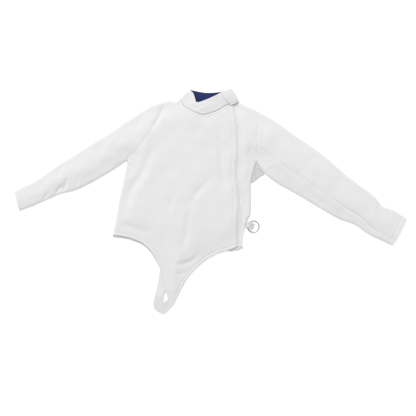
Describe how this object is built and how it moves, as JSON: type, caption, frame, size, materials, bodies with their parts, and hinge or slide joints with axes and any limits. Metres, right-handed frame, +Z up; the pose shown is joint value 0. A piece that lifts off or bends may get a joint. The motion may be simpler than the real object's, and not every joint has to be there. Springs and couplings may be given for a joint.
{
  "type": "fencing jacket",
  "caption": "Fencing jacket laid flat: white cloth, stand collar with closing tab, side overlap, long sleeves, crotch strap and waist ring.",
  "frame": {"origin": "centre of the bounding box on the surface that the jacket lies on", "axes": "+X towards the wearer's left cuff, +Y towards the collar, +Z up out of the front"},
  "size_m": [1.532, 0.8832, 0.0249],
  "materials": {
    "shell": "dense white cotton drill, matt",
    "elastic": "ribbed woven elastic, matt",
    "webbing": "folded cotton webbing, matt",
    "zip_tape": "white zip tape and closed coil",
    "lining": "navy brushed lining",
    "ring": "nickel-plated steel wire, polished"
  },
  "bodies": {
    "jacket": {"front": "shell", "front_left": "shell", "zip": "zip_tape", "back": "shell", "sleeve_right_top": "shell", "sleeve_right_under": "shell", "sleeve_left_top": "shell", "sleeve_left_under": "shell", "sleeve_left_front": "shell", "underarm_gusset": "shell", "collar": "shell", "collar_lining": "lining", "collar_tab": "shell", "crotch_elastic": "elastic", "waist_tab": "webbing"},
    "ring": {"ring": "ring"}
  },
  "joints": [
    {"name": "ring_swing", "type": "hinge", "parent": "jacket", "child": "ring", "pos_m": [0.14625, -0.09373, 0.0043], "axis": [-0.279, -0.9603, 0], "range_deg": [0, 112]}
  ]
}
